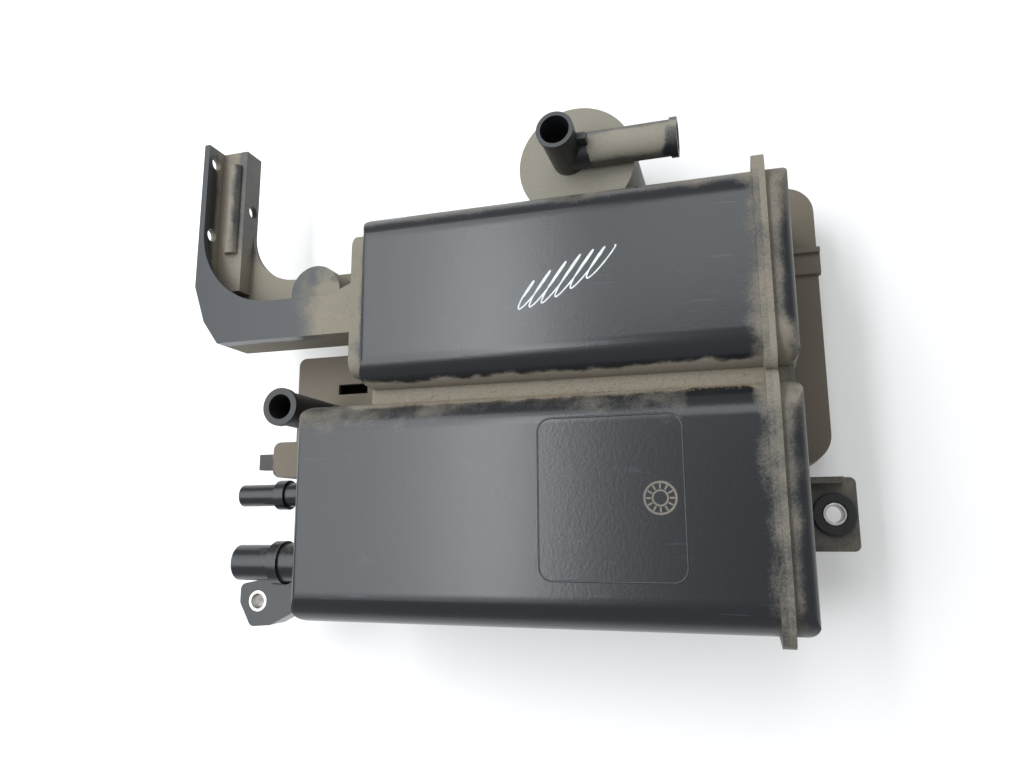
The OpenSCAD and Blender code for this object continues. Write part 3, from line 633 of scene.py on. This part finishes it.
class Finishes:
    """All finishes of the canister, by name."""

    def __init__(self, groups: EffectGroups, layout: "Layout") -> None:
        """Describes every finish; get makes its material.

        Args:
            groups: The shared effects.
            layout: The places that the dust follows.
        """
        tan = (0.30, 0.265, 0.208)
        black = (0.0105, 0.0120, 0.0145)
        lay = layout
        x, y, z = Axis.X, Axis.Y, Axis.Z
        gap = (lay.lower_y1 + lay.upper_y0) / 2.0
        self.housing = PlasticFinish(
            "HousingPlastic", HOUSING_SLOT, black, tan, roughness=0.26, haze=0.06, scuff=0.6,
            ragged=4.0 * MM, facing=((y, 0.10),), zones=(
                Zone(0.42, (Ramp(x, lay.flange_x - 8.0 * MM, lay.flange_x + 1.0 * MM),)),
                Zone(0.30, (Ramp(y, lay.upper_top - 11.0 * MM, lay.upper_top - 2.0 * MM),)),
                Zone(1.0, (Ramp(x, lay.upper_in_x - 12.0 * MM, lay.upper_in_x),
                           Ramp(y, gap + 8.0 * MM, gap + 4.0 * MM),
                           Ramp(y, gap - 9.0 * MM, gap - 3.0 * MM),
                           Ramp(z, lay.groove_z + 9.5 * MM, lay.groove_z + 4.0 * MM))),
                Zone(0.22, (*band(x, lay.lower_x0, lay.flange_x, 6.0 * MM),
                            *band(y, gap - 10.0 * MM, gap, 9.0 * MM))),
                Zone(-0.5, (*band(x, lay.flange_x - 24.0 * MM, lay.flange_x - 7.0 * MM, 4.0 * MM),
                            *band(y, lay.lower_y1 - 7.0 * MM, lay.lower_y1 + 1.0 * MM, 3.0 * MM))),
                Zone(0.70, (Ramp(x, lay.upper_in_x + 1.0 * MM, lay.upper_in_x - 3.0 * MM),
                            Ramp(y, gap, gap + 6.0 * MM))),
                Zone(0.16, (*band(x, lay.lower_x0 - 22.0 * MM, lay.lower_x0, 3.0 * MM),))))
        self.cover = PlasticFinish(
            "CoverPlastic", "cover_plastic", black, tan, haze=0.20, ragged=3.0 * MM, zones=(
                Zone(0.34, (Ramp(x, lay.cover_x1 - 2.0 * MM, lay.cover_x1 - 8.0 * MM),)),
                Zone(0.36, (*band(y, gap - 8.0 * MM, gap + 12.0 * MM, 8.0 * MM),)),
                Zone(0.36, (Ramp(y, lay.upper_top - 40.0 * MM, lay.upper_top),)),
                Zone(0.30, (Ramp(x, lay.cover_x1, lay.cover_x1 + 2.0 * MM),))))
        self.rear = PlasticFinish(
            "RearPlastic", "rear_plastic", (0.022, 0.022, 0.023), (0.235, 0.20, 0.155), roughness=0.5,
            haze=0.6, facing=((z, 0.3),), contrast=0.3, patch_scale=30.0, zones=(
                Zone(-1.0, (Ramp(z, lay.rear_z1 + 6.0 * MM, lay.rear_z1 + 14.0 * MM),)),
                Zone(-0.6, (Ramp(x, lay.rear_x0 - 10.0 * MM, lay.rear_x0 - 13.0 * MM),))))
        vx, vy = lay.vent_stub
        self.vent = PlasticFinish(
            "VentPlastic", "vent_plastic", (0.016, 0.018, 0.021), (0.34, 0.31, 0.25), roughness=0.42,
            haze=0.40, facing=((z, 0.4),), contrast=0.3, patch_scale=34.0, ragged=3.0 * MM, zones=(
                Zone(-1.0, (Ramp(z, lay.vent_top + 1.0 * MM, lay.vent_top + 4.0 * MM),
                            *band(x, vx - 12.0 * MM, vx + 9.5 * MM, 2.0 * MM))),
                Zone(-0.5, (Ramp(x, vx + 41.0 * MM, vx + 44.0 * MM),
                            Ramp(y, vy + 3.0 * MM, vy - 2.0 * MM))),
                Zone(-0.45, (Ramp(z, lay.vent_top + 2.0 * MM, lay.vent_top + 6.0 * MM),
                             Ramp(y, vy + 2.0 * MM, vy + 6.0 * MM)))))
        self.bracket = PlasticFinish(
            "BracketPlastic", "bracket_plastic", (0.017, 0.020, 0.024), (0.31, 0.275, 0.215),
            haze=0.14, contrast=0.35, patch_scale=40.0, ragged=3.0 * MM, zones=(
                Zone(0.66, (Ramp(z, lay.arm_z1 - 4.0 * MM, lay.arm_z1 - 10.0 * MM),)),
                Zone(0.62, (Ramp(x, lay.arm_x1 - 46.0 * MM, lay.arm_x1 - 24.0 * MM),)),
                Zone(-0.5, (*band(x, lay.arm_x1 - 36.0 * MM, lay.arm_x1 - 18.0 * MM, 6.0 * MM),
                            Ramp(z, lay.arm_z1 - 9.0 * MM, lay.arm_z1 - 5.0 * MM),
                            Ramp(y, lay.arm_y0 + 24.0 * MM, lay.arm_y0 + 30.0 * MM))),
                Zone(-0.4, (*band(x, lay.arm_x0 + 13.5 * MM, lay.arm_x0 + 18.0 * MM, 3.0 * MM),
                            Ramp(y, lay.arm_y0 + 40.0 * MM, lay.arm_y0 + 60.0 * MM)))))
        self.rubber = GrainFinish(
            "Rubber", "rubber", (0.030, 0.030, 0.031), (0.014, 0.014, 0.015), 0.62, scale=500.0)
        self.zinc = GrainFinish(
            "ZincSteel", "zinc_steel", (0.66, 0.655, 0.63), (0.42, 0.40, 0.36), 0.34, metallic=1.0,
            scale=260.0)
        self.spring = GrainFinish(
            "SpringSteel", "spring_steel", (0.46, 0.46, 0.45), (0.30, 0.30, 0.30), 0.3, metallic=1.0,
            scale=400.0)
        self.grid = GrainFinish(
            "GridPlastic", "grid_plastic", (0.12, 0.125, 0.13), (0.09, 0.093, 0.098), 0.5)
        self.fleece = GrainFinish(
            "Fleece", "fleece", (0.74, 0.72, 0.66), (0.55, 0.53, 0.47), 0.95, scale=900.0, bump=0.8)
        self.carbon = GrainFinish(
            "Carbon", "carbon", (0.022, 0.022, 0.023), (0.006, 0.006, 0.007), 0.8, scale=450.0, bump=1.0)
        self.paper = GrainFinish(
            "FilterPaper", "filter_paper", (0.74, 0.68, 0.53), (0.6, 0.54, 0.4), 0.9, scale=200.0,
            stretch=(6.0, 1.0, 1.0), bump=0.7)
        self.pen = GrainFinish(
            "PaintPen", HOUSING_SLOT, (0.86, 0.87, 0.88), (0.62, 0.63, 0.65), 0.5, scale=500.0)
        self.grit = GrainFinish(
            "Grit", HOUSING_SLOT, (0.30, 0.205, 0.115), (0.16, 0.12, 0.08), 0.9, scale=160.0)
        self.faint = PlasticFinish(
            "MouldMark", HOUSING_SLOT, (0.022, 0.024, 0.028), tan, roughness=0.4, haze=0.2)
        self.chalk = PlasticFinish(
            "DialMark", HOUSING_SLOT, (0.16, 0.15, 0.13), tan, roughness=0.7, haze=0.5)
        self.groups = groups
        self.made: dict[str, bpy.types.Material] = {}

    def get(self, finish: "PlasticFinish | GrainFinish") -> bpy.types.Material:
        """Returns a finish's material, made once."""
        if finish.name not in self.made:
            self.made[finish.name] = finish.build(self.groups)
        return self.made[finish.name]


class Layout:
    """Places that the details follow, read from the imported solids."""

    wall = 2.5 * MM
    clear = 0.3 * MM
    groove_depth = 13.0 * MM
    edge_r = 13.0 * MM
    flange_t = 2.25 * MM
    cover_depth = 8.0 * MM
    tray_reach = 21.0 * MM
    cap_height = 4.0 * MM
    stub_from_axis = (-3.0 * MM, 1.9 * MM)

    def __init__(self) -> None:
        """Measures the nodes that carry details."""
        lower_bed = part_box("lower_carbon_bed")
        upper_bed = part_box("upper_carbon_bed")
        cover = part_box("end_cover")
        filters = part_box("lower_inlet_grid"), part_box("upper_inlet_grid")
        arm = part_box("bracket_arm")
        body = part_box("vent_body")
        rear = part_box("rear_box")
        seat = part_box("port_seal")
        inset = self.wall + self.clear
        self.flange_x = cover[0][0] - self.flange_t
        self.front_z = upper_bed[1][2] + inset
        self.groove_z = self.front_z - self.groove_depth
        self.lower_y1 = lower_bed[1][1] + inset
        self.upper_y0 = upper_bed[0][1] - inset
        self.upper_top = upper_bed[1][1] + inset
        self.lower_x0 = filters[0][0][0] - self.wall
        self.upper_in_x = filters[1][0][0] - self.wall
        self.cover_x1 = self.flange_x + 2.0 * self.flange_t + self.cover_depth
        self.rear_x0 = rear[0][0] + self.tray_reach
        self.rear_z1 = seat[1][2]
        self.vent_top = body[1][2] + self.cap_height
        axis_x = (body[0][0] + body[1][0]) / 2.0
        axis_y = (body[0][1] + body[1][1]) / 2.0
        self.vent_stub = (axis_x + self.stub_from_axis[0], axis_y + self.stub_from_axis[1])
        self.arm_x0 = arm[0][0]
        self.arm_x1 = arm[1][0]
        self.arm_y0 = arm[0][1]
        self.arm_z1 = arm[1][2]


@dataclass
class SolidDress:
    """Takes solids over with rounded edges and a finish."""

    finishes: Finishes
    nodes: dict[str, bpy.types.Object]
    broad_edge: float = 0.8 * MM
    rubber_edge: float = 0.7 * MM
    mould_edge: float = 0.6 * MM
    fine_edge: float = 0.45 * MM
    steel_edge: float = 0.35 * MM

    def take_over(self, node: str, piece_name: str, finish: "PlasticFinish | GrainFinish",
                  radius: float) -> None:
        """Replaces one node by its rounded copy.

        Args:
            node: The node's name.
            piece_name: The new piece's name.
            finish: Its finish.
            radius: Radius of its edges, in metres.
        """
        mesh = rounded_copy(self.nodes[node], piece_name, radius)
        piece = add_piece(piece_name, mesh, self.finishes.get(finish))
        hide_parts(node)

    def paint(self, node: str, finish: GrainFinish) -> None:
        """Gives a hidden node its finish, with its shape as it is."""
        target = self.nodes[node]
        material = self.finishes.get(finish)
        if not target.material_slots:
            target.data.materials.append(material)
        for slot in target.material_slots:
            slot.material = material

    def dress(self) -> None:
        """Dresses every node of the canister."""
        f = self.finishes
        self.take_over("canister_housing", "housing_shell", f.housing, self.mould_edge)
        self.take_over("end_cover", "cover_shell", f.cover, self.mould_edge)
        self.take_over("rear_box", "rear_box_shell", f.rear, self.broad_edge)
        self.take_over("rear_lid", "rear_lid_plate", f.rear, self.mould_edge)
        self.take_over("vent_body", "vent_cup", f.vent, self.fine_edge)
        self.take_over("vent_cap", "vent_top", f.vent, self.fine_edge)
        self.take_over("bracket_arm", "bracket_shell", f.bracket, self.mould_edge)
        self.take_over("lug_sleeve", "lug_sleeve_ring", f.zinc, self.steel_edge)
        self.take_over("grommet_sleeve", "grommet_sleeve_ring", f.zinc, self.steel_edge)
        self.take_over("tab_grommet", "grommet_ring", f.rubber, self.rubber_edge)
        for chamber in ("lower", "upper"):
            self.paint(f"{chamber}_inlet_grid", f.grid)
            self.paint(f"{chamber}_pressure_plate", f.grid)
            self.paint(f"{chamber}_inlet_fleece", f.fleece)
            self.paint(f"{chamber}_outlet_fleece", f.fleece)
            self.paint(f"{chamber}_carbon_bed", f.carbon)
            self.paint(f"{chamber}_spring", f.spring)
        for node in ("lid_seal", "port_seal", "vent_seal"):
            self.paint(node, f.rubber)
        for node in ("panel_filter", "vent_filter"):
            self.paint(node, f.paper)


@dataclass
class FrontMarks:
    """Mould marks and pen strokes on the chambers' front faces."""

    finishes: Finishes
    layout: Layout
    frame_size: tuple[float, float] = (53.0 * MM, 59.0 * MM)
    frame_corner: float = 5.0 * MM
    frame_from_flange: float = 55.5 * MM
    frame_from_side: float = 40.5 * MM
    ridge: float = 0.7 * MM
    ridge_height: float = 0.18 * MM
    dial_radius: float = 5.6 * MM
    dial_from_flange: float = 37.5 * MM
    dial_from_side: float = 41.0 * MM
    dial_ticks: int = 12
    dial_hub_share: float = 0.48
    tick_place_share: float = 0.74
    tick_length_share: float = 0.32
    tick_width_share: float = 0.9
    tick_height_share: float = 2.0
    rim_width_share: float = 1.2
    rim_height_share: float = 1.5
    rim_points: int = 48
    hub_points: int = 36
    corner_steps: int = 6
    pen_width: float = 0.55 * MM
    pen_height: float = 0.1 * MM
    pen_strokes: float = 6.3
    pen_steps: int = 240
    pen_from_flange: float = 88.0 * MM
    pen_from_top: float = 44.0 * MM
    pen_run: tuple[float, float] = (34.0 * MM, 12.0 * MM)
    pen_sway: float = 5.0 * MM
    pen_swell: float = 3.5 * MM
    pen_lean: float = 1.2 * MM
    pen_slant: float = 0.75

    def _arc_loop(self, centre: Vector, half: Vector, corner: float) -> list[Vector]:
        """Points of a rectangle with round corners, about a centre."""
        points = []
        for quarter, (sx, sy) in enumerate(((1, 1), (-1, 1), (-1, -1), (1, -1))):
            hub = centre + Vector((sx * (half.x - corner), sy * (half.y - corner), 0.0))
            for step in range(self.corner_steps + 1):
                angle = math.radians(90.0 * (quarter + step / self.corner_steps))
                points.append(hub + Vector((math.cos(angle), math.sin(angle), 0.0)) * corner)
        return points

    def _circle(self, hub: Vector, radius: float, count: int) -> list[Vector]:
        """Points of a level circle about a hub."""
        points = []
        for step in range(count):
            angle = math.tau * step / count
            points.append(hub + Vector((math.cos(angle), math.sin(angle), 0.0)) * radius)
        return points

    def label_frame(self) -> None:
        """Raises the bare frame of a label field on the lower chamber."""
        lay = self.layout
        centre = Vector((lay.flange_x - self.frame_from_flange, lay.lower_y1 - self.frame_from_side,
                         lay.front_z))
        half = Vector((self.frame_size[0] / 2, self.frame_size[1] / 2, 0.0))
        loop = self._arc_loop(centre, half, self.frame_corner)
        mesh = sweep(loop, self.ridge, self.ridge_height, True)
        add_piece("label_frame", mesh, self.finishes.get(self.finishes.faint))

    def date_dial(self) -> None:
        """Sets a plain dial into the label field, with ticks turned round a circle by a tree."""
        lay = self.layout
        hub = Vector((lay.flange_x - self.dial_from_flange, lay.lower_y1 - self.dial_from_side,
                      lay.front_z))
        material = self.finishes.get(self.finishes.chalk)
        rim = self._circle(hub, self.dial_radius, self.rim_points)
        mesh = sweep(rim, self.ridge * self.rim_width_share, self.ridge_height * self.rim_height_share, True)
        add_piece("dial_rim", mesh, material)
        inner = self._circle(hub, self.dial_radius * self.dial_hub_share, self.hub_points)
        mesh = sweep(inner, self.ridge, self.ridge_height, True)
        add_piece("dial_hub", mesh, material)
        sizes = {"Ticks": self.dial_ticks, "Radius": self.dial_radius * self.tick_place_share,
                 "Length": self.dial_radius * self.tick_length_share,
                 "Width": self.ridge * self.tick_width_share,
                 "Height": self.ridge_height * self.tick_height_share}
        tree = NodeTree("DialTicks", sizes, whole=("Ticks",))
        bench = tree.bench
        circle = bench.add("GeometryNodeMeshCircle")
        bench.feed(circle.inputs["Vertices"], tree.given.outputs["Ticks"])
        bench.feed(circle.inputs["Radius"], tree.given.outputs["Radius"])
        size = bench.add("ShaderNodeCombineXYZ")
        for label, place in (("Length", 0), ("Width", 1), ("Height", 2)):
            bench.feed(size.inputs[place], tree.given.outputs[label])
        tick = bench.add("GeometryNodeMeshCube")
        bench.feed(tick.inputs["Size"], size.outputs[0])
        spread = bench.add("GeometryNodeInstanceOnPoints")
        turn = bench.add("FunctionNodeAlignRotationToVector", axis="X")
        bench.feed(turn.inputs["Vector"], bench.add("GeometryNodeInputPosition").outputs[0])
        bench.feed(spread.inputs["Points"], circle.outputs["Mesh"])
        bench.feed(spread.inputs["Instance"], tick.outputs["Mesh"])
        bench.feed(spread.inputs["Rotation"], turn.outputs["Rotation"])
        tree.close(spread.outputs[0], material)
        mesh = tree.run(bpy.data.meshes.new("dial_base"))
        mesh.transform(Matrix.Translation(hub))
        add_piece("dial_ticks", mesh, material)

    def pen_scribble(self) -> None:
        """Draws a paint pen's long scribble, back and forth, on the upper chamber."""
        lay = self.layout
        start = Vector((lay.flange_x - self.pen_from_flange, lay.upper_top - self.pen_from_top,
                        lay.front_z))
        along = Vector((*self.pen_run, 0.0))
        points = []
        for step in range(self.pen_steps + 1):
            t = step / self.pen_steps
            turn = math.tau * self.pen_strokes * t
            sway = math.sin(turn) * (self.pen_sway + self.pen_swell * math.sin(math.pi * t))
            lean = math.cos(turn) * self.pen_lean
            points.append(start + along * t + Vector((sway * self.pen_slant + lean, sway, 0.0)))
        mesh = sweep(points, self.pen_width, self.pen_height, False)
        add_piece("pen_scribble", mesh, self.finishes.get(self.finishes.pen))

    def dress(self) -> None:
        """Adds every mark."""
        self.label_frame()
        self.date_dial()
        self.pen_scribble()


@dataclass
class GrooveGrit:
    """Loose grit caught between the two chambers."""

    finishes: Finishes
    layout: Layout
    grains: int = 2600
    grain_radius: float = 0.3 * MM
    seed: int = 7
    climb: float = 38.0
    climb_steps: int = 4
    smallest: tuple[float, float, float] = (0.25, 0.25, 0.2)
    largest: tuple[float, float, float] = (1.2, 1.0, 0.7)

    def _strip(self) -> bpy.types.Mesh:
        """The groove's floor and the foot of the lower chamber's round edge, where grit can lie."""
        lay = self.layout
        hub_y, hub_z = lay.lower_y1 - lay.edge_r, lay.front_z - lay.edge_r
        profile = []
        for step in range(self.climb_steps + 1):
            angle = math.radians(self.climb * (1.0 - step / self.climb_steps))
            y = hub_y + lay.edge_r * math.cos(angle)
            z = hub_z + lay.edge_r * math.sin(angle)
            profile.append((y, z))
        profile.append((lay.upper_y0, lay.groove_z))
        work = bmesh.new()
        ends = []
        for x in (lay.upper_in_x + lay.wall, lay.flange_x):
            ends.append([work.verts.new((x, y, z)) for y, z in profile])
        for k in range(len(profile) - 1):
            work.faces.new((ends[0][k], ends[1][k], ends[1][k + 1], ends[0][k + 1]))
        mesh = bpy.data.meshes.new("groove_strip")
        work.to_mesh(mesh)
        work.free()
        return mesh

    def dress(self) -> None:
        """Scatters the grit by a tree with a fixed seed."""
        strip = self._strip()
        area = sum(face.area for face in strip.polygons)
        material = self.finishes.get(self.finishes.grit)
        sizes = {"Density": self.grains / area, "Seed": self.seed, "Radius": self.grain_radius}
        tree = NodeTree("GrooveGrit", sizes, whole=("Seed",))
        bench = tree.bench
        scatter = bench.add("GeometryNodeDistributePointsOnFaces")
        bench.feed(scatter.inputs["Mesh"], tree.given.outputs["Geometry"])
        bench.feed(scatter.inputs["Density"], tree.given.outputs["Density"])
        bench.feed(scatter.inputs["Seed"], tree.given.outputs["Seed"])
        grain = bench.add("GeometryNodeMeshIcoSphere")
        bench.feed(grain.inputs["Radius"], tree.given.outputs["Radius"])
        grain.inputs["Subdivisions"].default_value = 1
        scale = bench.add("FunctionNodeRandomValue", data_type="FLOAT_VECTOR")
        scale.inputs[0].default_value = self.smallest
        scale.inputs[1].default_value = self.largest
        bench.feed(scale.inputs["Seed"], tree.given.outputs["Seed"])
        spread = bench.add("GeometryNodeInstanceOnPoints")
        bench.feed(spread.inputs["Points"], scatter.outputs["Points"])
        bench.feed(spread.inputs["Instance"], grain.outputs["Mesh"])
        bench.feed(spread.inputs["Scale"], scale.outputs[0])
        tree.close(spread.outputs[0], material)
        add_piece("groove_grit", tree.run(strip), material)


@dataclass
class Studio:
    """Floor, light and the camera of the photograph."""

    focal_px: float = 769.0
    frame_px: tuple[float, float] = (1024.0, 768.0)
    nadir_px: tuple[float, float] = (750.0, 525.0)
    vanish_row_px: float = 540.0
    camera_place: tuple[float, float, float] = (92.25 * MM, -86.0 * MM, 372.0 * MM)
    sensor: float = 36.0
    near: float = 10.0 * MM
    floor_half: float = 3.0
    floor_colour: Colour = (0.86, 0.855, 0.845)
    floor_roughness: float = 0.9
    floor_specular: float = 0.1
    floor_glow: Colour = (1.0, 0.995, 0.985)
    floor_glow_power: float = 0.16
    lamp_colour: Colour = (0.93, 0.97, 1.0)
    sky_colour: Colour = (0.95, 0.975, 1.0)
    sky_power: float = 0.5
    sky_seen_more: float = 0.5

    def camera(self) -> None:
        """Stands the camera where the photograph was taken from."""
        half = Vector((self.frame_px[0] / 2, self.frame_px[1] / 2))
        nadir = (Vector(self.nadir_px) - half) / self.focal_px
        down = Vector((nadir.x, nadir.y, 1.0))
        rise = (self.vanish_row_px - half.y) / self.focal_px
        left = Vector((-(1.0 + down.y * rise) / down.x, rise, 1.0))
        row_x = -left.normalized()
        row_z = -down.normalized()
        row_y = row_z.cross(row_x)
        turn = Matrix([(row.x, -row.y, -row.z) for row in (row_x, row_y, row_z)])
        data = bpy.data.cameras.new("PhotoCamera")
        data.sensor_width = self.sensor
        data.lens = self.focal_px / self.frame_px[0] * self.sensor
        data.clip_start = self.near
        eye = bpy.data.objects.new("PhotoCamera", data)
        eye.matrix_world = Matrix.Translation(Vector(self.camera_place)) @ turn.to_4x4()
        bpy.context.collection.objects.link(eye)
        bpy.context.scene.camera = eye

    def floor(self) -> None:
        """Lays a pale floor that keeps the object's shadow."""
        half = self.floor_half
        corners = [(-half, -half, 0.0), (half, -half, 0.0), (half, half, 0.0), (-half, half, 0.0)]
        mesh = bpy.data.meshes.new("floor")
        mesh.from_pydata(corners, [], [(0, 1, 2, 3)])
        floor = bpy.data.objects.new("floor", mesh)
        bpy.context.collection.objects.link(floor)
        material, bench, shader = blank_material("PaleFloor")
        shader.inputs["Base Color"].default_value = (*self.floor_colour, 1.0)
        shader.inputs["Roughness"].default_value = self.floor_roughness
        shader.inputs["Specular IOR Level"].default_value = self.floor_specular
        rays = bench.add("ShaderNodeLightPath")
        seen = bench.math("MAXIMUM", rays.outputs["Is Camera Ray"], rays.outputs["Is Glossy Ray"])
        shader.inputs["Emission Color"].default_value = (*self.floor_glow, 1.0)
        glow = bench.math("MULTIPLY", seen, self.floor_glow_power)
        bench.feed(shader.inputs["Emission Strength"], glow)
        mesh.materials.append(material)

    def lamp(self, name: str, place: Vector, size: tuple[float, float], power: float) -> None:
        """Hangs one soft panel that faces straight down.

        Args:
            name: The lamp's name.
            place: Where it hangs.
            size: Its two sides, in metres.
            power: Its power, in watts.
        """
        data = bpy.data.lights.new(name, "AREA")
        data.shape = "RECTANGLE"
        data.size, data.size_y = size
        data.energy = power
        data.color = self.lamp_colour
        lamp = bpy.data.objects.new(name, data)
        facing = Vector((0.0, 0.0, -1.0)).to_track_quat("-Z", "Y").to_matrix().to_4x4()
        lamp.matrix_world = Matrix.Translation(place) @ facing
        bpy.context.collection.objects.link(lamp)

    def light(self) -> None:
        """Sets the room's soft light: a narrow window, a broad wall of light and a weak side."""
        self.lamp("WindowPanel", Vector((-0.35, 0.12, 1.19)), (0.15, 0.95), 4.0)
        self.lamp("RoomPanel", Vector((-0.78, 0.40, 1.22)), (1.0, 1.9), 20.0)
        self.lamp("SidePanel", Vector((0.12, 0.62, 1.2)), (0.5, 0.7), 3.6)
        world = bpy.data.worlds.new("Room")
        bpy.context.scene.world = world
        world.use_nodes = True
        bench = Bench(world.node_tree)
        sky = next(node for node in world.node_tree.nodes if node.type == "BACKGROUND")
        sky.inputs["Color"].default_value = (*self.sky_colour, 1.0)
        rays = bench.add("ShaderNodeLightPath")
        more = bench.math("MULTIPLY", rays.outputs["Is Camera Ray"], self.sky_seen_more)
        bench.feed(sky.inputs["Strength"], bench.math("ADD", more, self.sky_power))

    def build(self) -> None:
        """Sets up camera, floor and light."""
        self.camera()
        self.floor()
        self.light()
        bpy.context.scene.view_settings.view_transform = "Standard"


def main() -> None:
    """Builds the dressed canister."""
    logging.basicConfig(level=logging.INFO, format="%(name)s: %(message)s")
    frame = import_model()
    layout = Layout()
    Studio().build()
    finishes = Finishes(EffectGroups(), layout)
    SolidDress(finishes, frame["nodes"]).dress()
    FrontMarks(finishes, layout).dress()
    GrooveGrit(finishes, layout).dress()


if __name__ == "__main__":
    main()
